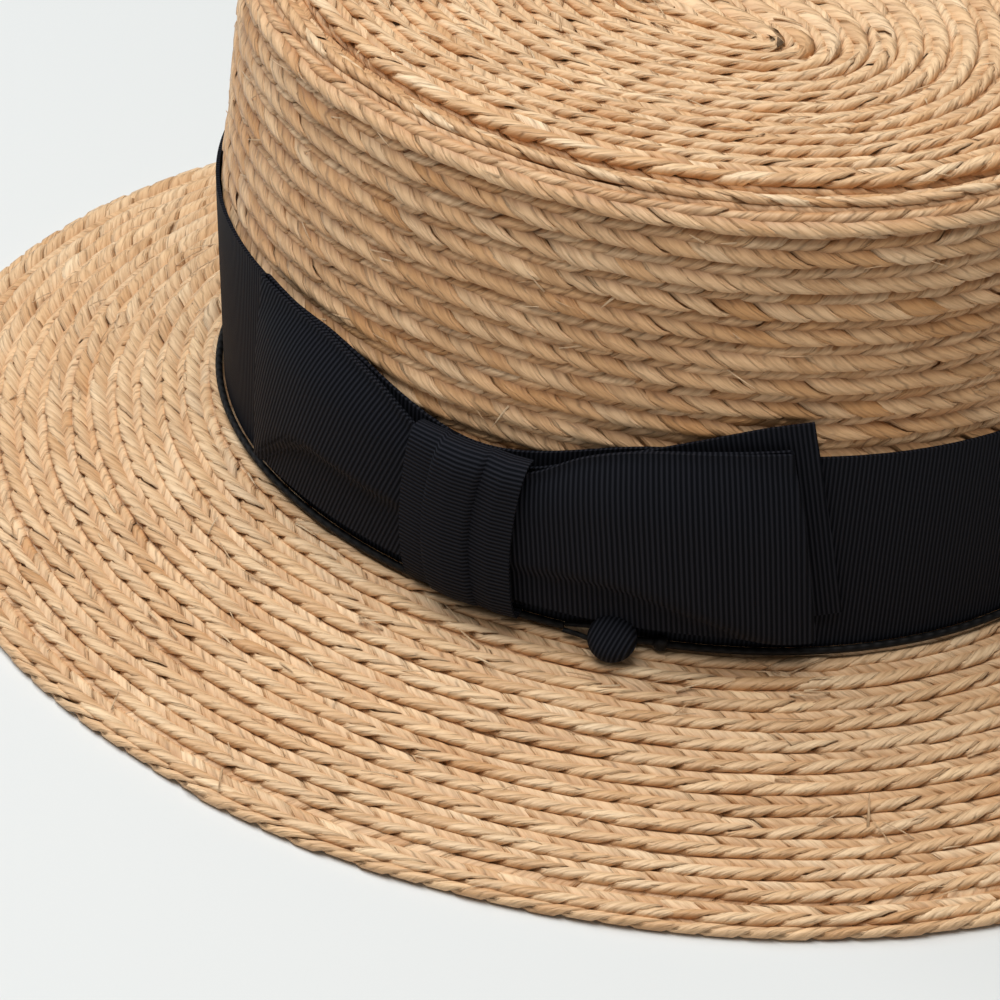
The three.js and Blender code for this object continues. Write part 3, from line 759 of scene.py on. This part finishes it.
def add_ribbon(name, sheet, node, closed=False):
    """A piece of ribbon from a grid of points and its weave."""
    return add_piece(name, sheet_mesh(name, *sheet, closed), ribbon, node)


def band_top(degrees):
    reach = np.abs((degrees - BOW_ANGLE + 180.0) % 360.0 - 180.0) / BAND_DIP_REACH
    return BAND_LIFT + RIBBON_WIDTH - BAND_DIP * (1.0 - smooth(reach))


BAND_COLUMNS = 360
BAND_LEVELS = 12
BAND_RIB_SPACING = 1.66      # millimetres of the band for each degree round the crown
band_columns = np.linspace(0.0, 360.0, BAND_COLUMNS, endpoint=False)
band_degrees, band_share = np.meshgrid(band_columns, np.linspace(1.0, 0.0, BAND_LEVELS))
band_up = BAND_LIFT + (band_top(band_degrees) - BAND_LIFT) * band_share
band_grid = beside_crown(band_degrees, BAND_OUT - RIBBON_THICKNESS / 2, band_up)
band_weave = np.stack([band_degrees * BAND_RIB_SPACING, band_up], axis=-1)
band = add_ribbon("hat_band_ribbon", (band_grid, band_weave), "hat_band", closed=True)

# The loops of the bow. angle: degrees round the crown. top, fold: heights of its top and of its lower fold.
# lift: how far the ribbon stands off the crown. lean: degrees by which its foot lies further round.
LoopRow = namedtuple("LoopRow", "angle top fold lift lean")
RIGHT_LOOP = [
    LoopRow(6.5, 36.5, 17.0, 6.4, 0.0),
    LoopRow(10.5, 38.5, 16.7, 6.6, 0.0),
    LoopRow(16.0, 45.2, 18.2, 7.8, 0.0),
    LoopRow(22.0, 49.0, 17.6, 8.4, 0.6),
    LoopRow(29.0, 50.6, 13.0, 8.2, 1.8),
    LoopRow(35.0, 51.4, 7.5, 7.4, 3.4),
    LoopRow(38.6, 51.8, 5.6, 6.6, 4.6),
]
LEFT_LOOP = [
    LoopRow(-1.5, 36.5, 19.0, 4.6, 0.0),
    LoopRow(-4.8, 38.5, 19.2, 4.8, 0.0),
    LoopRow(-10.3, 44.4, 20.6, 6.2, 0.0),
    LoopRow(-15.5, 47.8, 21.6, 6.8, 0.0),
    LoopRow(-21.0, 49.6, 21.0, 6.6, -0.4),
    LoopRow(-27.0, 50.4, 14.0, 5.6, -1.0),
    LoopRow(-31.4, 50.8, 4.6, 4.4, -1.2),
]
BACK_LOOP = [
    LoopRow(6.5, 36.0, 14.0, 2.2, 0.0),
    LoopRow(10.9, 38.4, 13.0, 2.2, 0.0),
    LoopRow(17.7, 44.4, 11.0, 2.2, 0.8),
    LoopRow(26.6, 50.6, 9.0, 2.2, 2.4),
    LoopRow(35.3, 55.6, 9.0, 2.2, 4.6),
    LoopRow(41.5, 57.6, 10.2, 2.2, 6.2),
]
RIGHT_RIB_LEAN = -0.10       # slope by which the ribs lean
LEFT_RIB_LEAN = 0.35
BACK_RIB_LEAN = -0.18
LOOP_STEPS = 40
LOOP_LEVELS = 32
LOOP_BACK_DROP = 8.0         # the back layer's foot lies up to this far below the fold
LOOP_BACK_TUCK = 1.5         # its top is lower than the front layer's by this at the knot
LOOP_BACK_OUT = BAND_OUT + GAP + SOLID_RIBBON / 2
TOP_PRESS = 0.85             # share by which a loop is pressed flat at its top
SOFT_FOLD = 4.5              # height in which a loop's foot turns in below its fold
TUCKED_GAP = 1.4             # between the back layer and the tucked foot of the front layer
FOLD_STEPS = 8
RIB_SPACING = 1.6            # millimetres of ribbon for each degree round the crown


def ribbon_grid(angle, lean, out, up, level, rib_lean):
    """A grid beside the crown with its weave."""
    turned = angle + lean * (1.0 - level)
    weave = np.stack([turned * RIB_SPACING - rib_lean * up, up], axis=-1)
    return beside_crown(turned, out, up), weave


def loop_sheet(table, back_out, rib_lean):
    """A loop of ribbon from the knot out along the band and back. Its foot is tucked in towards the knot."""
    rows = refine(table, LOOP_STEPS)
    level = np.linspace(1.0, 0.0, LOOP_LEVELS)[:, None]
    foot = rows.fold[-1]

    # The front layer
    front_up = foot + (rows.top - foot) * level
    pressed = np.clip(2.0 * (front_up - rows.fold) / (rows.top - rows.fold) - 1.0, 0.0, 1.0) ** 2
    standing = smooth((front_up - rows.fold + SOFT_FOLD) / SOFT_FOLD)
    tucked = back_out + TUCKED_GAP
    untucked = back_out + (rows.lift - back_out) * (1.0 - TOP_PRESS * pressed)
    front_out = np.maximum(tucked, tucked + (untucked - tucked) * standing)

    # The fold at its end
    radius = (front_out[:, -1:] - back_out) / 2
    fold = np.linspace(0.0, math.pi, FOLD_STEPS + 1)[None, 1:-1]
    fold_out = back_out + radius * (1.0 - np.cos(fold))
    fold_way = math.copysign(1.0, rows.angle[-1])
    fold_angle = rows.angle[-1] + fold_way * radius * np.sin(fold) / MM_PER_DEGREE
    fold_up = front_up[:, -1:] * np.ones_like(fold)

    # The back layer, and all three in one grid
    back_foot = np.maximum(foot, rows.fold - LOOP_BACK_DROP)
    back_top = rows.top - LOOP_BACK_TUCK * np.linspace(1.0, 0.0, len(rows.top))
    back_up = back_foot + (back_top - back_foot) * level
    wide = np.ones_like(level)
    angle = np.concatenate([rows.angle * wide, fold_angle, rows.angle[::-1] * wide], axis=1)
    lean = np.concatenate([rows.lean, np.full(FOLD_STEPS - 1, rows.lean[-1]), rows.lean[::-1]])
    out = np.concatenate([np.full_like(back_up, back_out), fold_out, front_out[:, ::-1]], axis=1)
    up = np.concatenate([back_up, fold_up, front_up[:, ::-1]], axis=1)
    return ribbon_grid(angle, lean, out, up, level, rib_lean)


right_sheet = loop_sheet(RIGHT_LOOP, LOOP_BACK_OUT + SOLID_RIBBON + GAP, RIGHT_RIB_LEAN)
right_loop = add_ribbon("right_loop_ribbon", right_sheet, "bow_right_loop")

left_sheet = loop_sheet(LEFT_LOOP, LOOP_BACK_OUT, LEFT_RIB_LEAN)
left_loop = add_ribbon("left_loop_ribbon", left_sheet, "bow_left_loop")

back_rows = refine(BACK_LOOP, LOOP_STEPS)
back_level = np.linspace(1.0, 0.0, LOOP_LEVELS)[:, None]
back_up = back_rows.fold + (back_rows.top - back_rows.fold) * back_level
back_sheet = ribbon_grid(back_rows.angle, back_rows.lean, LOOP_BACK_OUT, back_up, back_level, BACK_RIB_LEAN)
back_loop = add_ribbon("back_loop_ribbon", back_sheet, "bow_back_loop")

# Knot: a pleated strip over the middle of the bow. waist: degrees by which it is drawn in midway up.
Pleat = namedtuple("Pleat", "angle lift waist")
KNOT_PLEATS = [
    Pleat(-4.4, 6.6, 0.8),
    Pleat(-0.6, 7.4, 1.2),
    Pleat(-0.1, 8.9, 1.4),
    Pleat(2.6, 9.5, 1.5),
    Pleat(5.0, 9.2, 1.4),
    Pleat(5.4, 8.2, 1.4),
    Pleat(6.4, 8.7, 1.3),
    Pleat(7.8, 9.2, 1.2),
    Pleat(10.0, 8.8, 0.9),
]
# From its foot to its top: height, and the share of the pleats' lift that it has there
KnotRow = namedtuple("KnotRow", "up share")
KNOT_PROFILE = [
    KnotRow(2.2, 0.28),
    KnotRow(2.0, 0.68),
    KnotRow(5.5, 0.92),
    KnotRow(13.0, 1.0),
    KnotRow(21.0, 1.0),
    KnotRow(30.0, 0.98),
    KnotRow(36.5, 0.92),
    KnotRow(39.6, 0.68),
    KnotRow(39.4, 0.28),
]
KNOT_COLUMNS = 61
KNOT_STEPS = 40
KNOT_USUAL_LIFT = 9.0
knot_rows = refine(KNOT_PROFILE[::-1], KNOT_STEPS)
knot_place = np.linspace(KNOT_PLEATS[0].angle, KNOT_PLEATS[-1].angle, KNOT_COLUMNS)
pleats = Pleat(*np.array(KNOT_PLEATS).T)
knot_lift = np.interp(knot_place, pleats.angle, pleats.lift)
knot_waist = np.interp(knot_place, pleats.angle, pleats.waist)
knot_up = knot_rows.up[:, None] * np.ones(KNOT_COLUMNS)
knot_share = np.clip(knot_up / KNOT_PROFILE[-1].up, 0.0, 1.0)
knot_degrees = knot_place - knot_waist * np.sin(math.pi * knot_share)
knot_grid = beside_crown(knot_degrees, knot_rows.share[:, None] * knot_lift, knot_up)
knot_run = run_along(np.stack([knot_rows.up, knot_rows.share * KNOT_USUAL_LIFT], axis=-1))
knot_weave = np.stack(np.broadcast_arrays(knot_run[:, None], knot_place * RIB_SPACING), axis=-1)
knot = add_ribbon("knot_ribbon", (knot_grid, knot_weave), "bow_knot")

# Cord, button and the fine loop that holds it
CORD_DIAMETER = 1.6
CORD_OUT = BAND_OUT + GAP + CORD_DIAMETER / 2
CORD_UP = 0.35
CORD_STEPS = 420
CORD_SIDES = 8
CORD_KNOT_ANGLE = 26.4
CORD_END_ANGLE = 14.9
CORD_LEAD_RISE = 0.3         # the cord rises by this between its beginning and its knot
CORD_LEAD_STEPS = 8
CORD_KNOT_RADIUS = 1.7
CORD_KNOT_SHIFT = 0.4        # the knot lies further out and higher than the cord by this
CORD_KNOT_RINGS = 9
CORD_KNOT_SIDES = 12
CORD_KNOT_TILT = 0.47 * math.pi
LOOP_CORD_DIAMETER = 1.1
LOOP_CORD_STEPS = 60
LOOP_TURN_POINTS = 7
LOOP_ALONG = -3.05           # place of the loop along the button's shank
SHANK_RADIUS = 1.3
Place = namedtuple("Place", "angle out up")
CORD_START = Place(22.6, 3.6, 0.8)
UPPER_STRAND = [Place(15.1, 2.5, 0.85), Place(17.5, 2.7, 1.85)]
LOWER_STRAND = [Place(17.5, 4.7, 0.35), Place(15.1, 4.1, 0.35)]
BUTTON_PLACE = Place(21.0, 6.7, 2.9)
BUTTON_TILT = math.radians(40.0)
BUTTON_RIB_LEAN = math.radians(20.0)
BUTTON_SIDES = 48
BUTTON_STEPS = 28
ButtonRow = namedtuple("ButtonRow", "radius along")
BUTTON_PROFILE = [
    ButtonRow(SHANK_RADIUS, -3.7),
    ButtonRow(SHANK_RADIUS, -2.4),
    ButtonRow(3.9, -1.6),
    ButtonRow(5.1, -0.4),
    ButtonRow(5.1, 0.5),
    ButtonRow(4.3, 1.9),
    ButtonRow(2.6, 2.8),
    ButtonRow(0.15, 3.1),
]


def rings_mesh(name, rings, weave):
    """A closed body of rings of points from end to end."""
    quads, ends = ring_faces(*rings.shape[:2], 0)
    mesh = new_mesh(name, rings.reshape(-1, 3), [quads, ends], BODY_SMOOTHING)
    add_uv(mesh, "weave", np.concatenate([ring_weave(weave), np.zeros((ends.size, 2))]))
    return mesh


def full_turn(sides):
    """Angles of the corners of a ring, with the first once more at the end."""
    return 2 * math.pi * np.arange(sides + 1) / sides


def twist_weave(run, turn):
    """Weave along and round a twisted cord, in millimetres."""
    return np.stack(np.broadcast_arrays(run[:, None], turn * CORD_TWIST / (2 * math.pi)), axis=-1)


def tube_mesh(name, line, diameter):
    """A cord round a line of points."""
    tangent = unit(np.gradient(line, axis=0))
    across = unit(np.cross(tangent, UPWARDS))
    other = np.cross(across, tangent)
    turn = full_turn(CORD_SIDES)
    corner = turn[:-1, None]
    ring = across[:, None] * np.cos(corner) + other[:, None] * np.sin(corner)
    return rings_mesh(name, line[:, None] + ring * diameter / 2, twist_weave(run_along(line), turn))


def ball_mesh(name, middle, radius):
    """A small tied knot in the cord."""
    tilt = np.linspace(-CORD_KNOT_TILT, CORD_KNOT_TILT, CORD_KNOT_RINGS)
    turn = full_turn(CORD_KNOT_SIDES)
    level = radius * np.cos(tilt)[:, None]
    height = radius * np.sin(tilt)[:, None]
    rings = np.broadcast_arrays(level * np.cos(turn[:-1]), level * np.sin(turn[:-1]), height)
    return rings_mesh(name, middle + np.stack(rings, axis=-1), twist_weave(radius * tilt, turn))


cord_start = beside_crown(*CORD_START)
cord_turn = np.linspace(CORD_KNOT_ANGLE, CORD_END_ANGLE + 360.0, CORD_STEPS)
cord_round = beside_crown(cord_turn, CORD_OUT, CORD_UP)
cord_midway = (cord_start + cord_round[0]) / 2 + UPWARDS * CORD_LEAD_RISE
cord_lead = curve_through([cord_start, cord_midway, cord_round[0]], CORD_LEAD_STEPS)
cord_line = np.concatenate([cord_lead[:-1], cord_round])
cord_mesh = tube_mesh("wind_cord_twist", cord_line, CORD_DIAMETER)
wind_cord = add_piece("wind_cord_twist", cord_mesh, cord, "wind_cord")
tie_place = beside_crown(CORD_KNOT_ANGLE, CORD_OUT + CORD_KNOT_SHIFT, CORD_UP + CORD_KNOT_SHIFT)
tie_mesh = ball_mesh("wind_cord_tie", tie_place, CORD_KNOT_RADIUS)
cord_tie = add_piece("wind_cord_tie", tie_mesh, cord, "wind_cord")

button_angle = math.radians(BUTTON_PLACE.angle)
outwards = unit(np.array([math.cos(button_angle) / HALF_WIDTH, math.sin(button_angle) / HALF_LENGTH, 0.0]))
button_axis = outwards * math.cos(BUTTON_TILT) + UPWARDS * math.sin(BUTTON_TILT)
button_round = np.cross(UPWARDS, outwards)
button_up = np.cross(button_axis, button_round)
button_middle = beside_crown(*BUTTON_PLACE)

button_rows = refine(BUTTON_PROFILE, BUTTON_STEPS)
button_turn = full_turn(BUTTON_SIDES)
button_x = button_rows.radius[:, None] * np.cos(button_turn)
button_y = button_rows.radius[:, None] * np.sin(button_turn)
button_points = button_middle + button_x[..., None] * button_round + button_y[..., None] * button_up
button_rings = button_points[:, :-1] + button_rows.along[:, None, None] * button_axis
button_ribs = button_x * math.cos(BUTTON_RIB_LEAN) - button_y * math.sin(BUTTON_RIB_LEAN)
button_threads = button_x * math.sin(BUTTON_RIB_LEAN) + button_y * math.cos(BUTTON_RIB_LEAN)
button_weave = np.stack([button_ribs, button_threads], axis=-1)
button_mesh = rings_mesh("covered_button", button_rings, button_weave)
add_piece("covered_button", button_mesh, ribbon, "cord_button")

loop_radius = SHANK_RADIUS + GAP + LOOP_CORD_DIAMETER / 2
loop_middle = button_middle + button_axis * LOOP_ALONG
loop_route = [beside_crown(*place) for place in UPPER_STRAND]
for turn in np.linspace(math.pi / 2, -math.pi / 2, LOOP_TURN_POINTS):
    across = button_round * math.cos(turn) + button_up * math.sin(turn)
    loop_route.append(loop_middle + loop_radius * across)
loop_route += [beside_crown(*place) for place in LOWER_STRAND]
loop_line = curve_through(loop_route, LOOP_CORD_STEPS)
loop_mesh = tube_mesh("button_loop_twist", loop_line, LOOP_CORD_DIAMETER)
add_piece("button_loop_twist", loop_mesh, cord, "button_loop")

# Floor and light, in metres
FLOOR_REACH = 4.0
FLOOR_COLOUR = (0.74, 0.755, 0.75, 1.0)
FLOOR_ROUGHNESS = 0.7
ROOM_COLOUR = (1.0, 0.96, 0.92, 1.0)
ROOM_STRENGTH = 0.16
LIGHT_TARGET = Vector((0.0, 0.0, 0.05))

floor_mesh = bpy.data.meshes.new("floor")
floor_corners = [(x * FLOOR_REACH, y * FLOOR_REACH, 0.0) for x, y in ((-1, -1), (1, -1), (1, 1), (-1, 1))]
floor_mesh.from_pydata(floor_corners, [], [(0, 1, 2, 3)])
floor = bpy.data.objects.new("floor", floor_mesh)
link(floor)
floor_finish = new_finish("pale_floor")
feed(floor_finish, floor_finish.shader, {"Base Color": FLOOR_COLOUR, "Roughness": FLOOR_ROUGHNESS})
floor_mesh.materials.append(floor_finish.material)

world = bpy.data.worlds.new("studio")
bpy.context.scene.world = world
world.use_nodes = True
background = world.node_tree.nodes["Background"]
background.inputs["Color"].default_value = ROOM_COLOUR
background.inputs["Strength"].default_value = ROOM_STRENGTH


def area_light(name, place, size, power, colour):
    data = bpy.data.lights.new(name, "AREA")
    data.size = size
    data.energy = power
    data.color = colour
    light = bpy.data.objects.new(name, data)
    light.location = place
    light.rotation_euler = (LIGHT_TARGET - Vector(place)).to_track_quat("-Z", "Y").to_euler()
    link(light)


area_light("overhead_softbox", place=(0.34, -0.1, 1.75), size=1.4, power=31.0, colour=(1.0, 0.99, 0.97))
area_light("front_softbox", place=(0.1, -1.4, 1.2), size=0.9, power=11.0, colour=(0.82, 0.92, 1.0))

# The camera stands where the photograph was taken from
CAMERA_AZIMUTH = math.radians(119.02)
CAMERA_ELEVATION = math.radians(33.79)
CAMERA_ROLL = math.radians(4.34)
CAMERA_DISTANCE = 1.0676
CAMERA_TARGET = Vector((0.06356, -0.00377, 0.0300))
CAMERA_LENS = 180.07
CAMERA_SENSOR = 36.0
camera_data = bpy.data.cameras.new("photo_camera")
camera_data.lens = CAMERA_LENS
camera_data.sensor_width = CAMERA_SENSOR
camera = bpy.data.objects.new("photo_camera", camera_data)
link(camera)
level = Vector((math.cos(CAMERA_AZIMUTH), math.sin(CAMERA_AZIMUTH), 0.0))
towards = Vector((math.sin(CAMERA_AZIMUTH), -math.cos(CAMERA_AZIMUTH), 0.0))
back = towards * math.cos(CAMERA_ELEVATION) + Vector(UPWARDS) * math.sin(CAMERA_ELEVATION)
upright = back.cross(level)
right = level * math.cos(CAMERA_ROLL) + upright * math.sin(CAMERA_ROLL)
above = upright * math.cos(CAMERA_ROLL) - level * math.sin(CAMERA_ROLL)
camera_axes = Matrix((right, above, back)).transposed()
camera.matrix_world = Matrix.Translation(CAMERA_TARGET + back * CAMERA_DISTANCE) @ camera_axes.to_4x4()
bpy.context.scene.camera = camera
bpy.context.scene.view_settings.view_transform = "Standard"
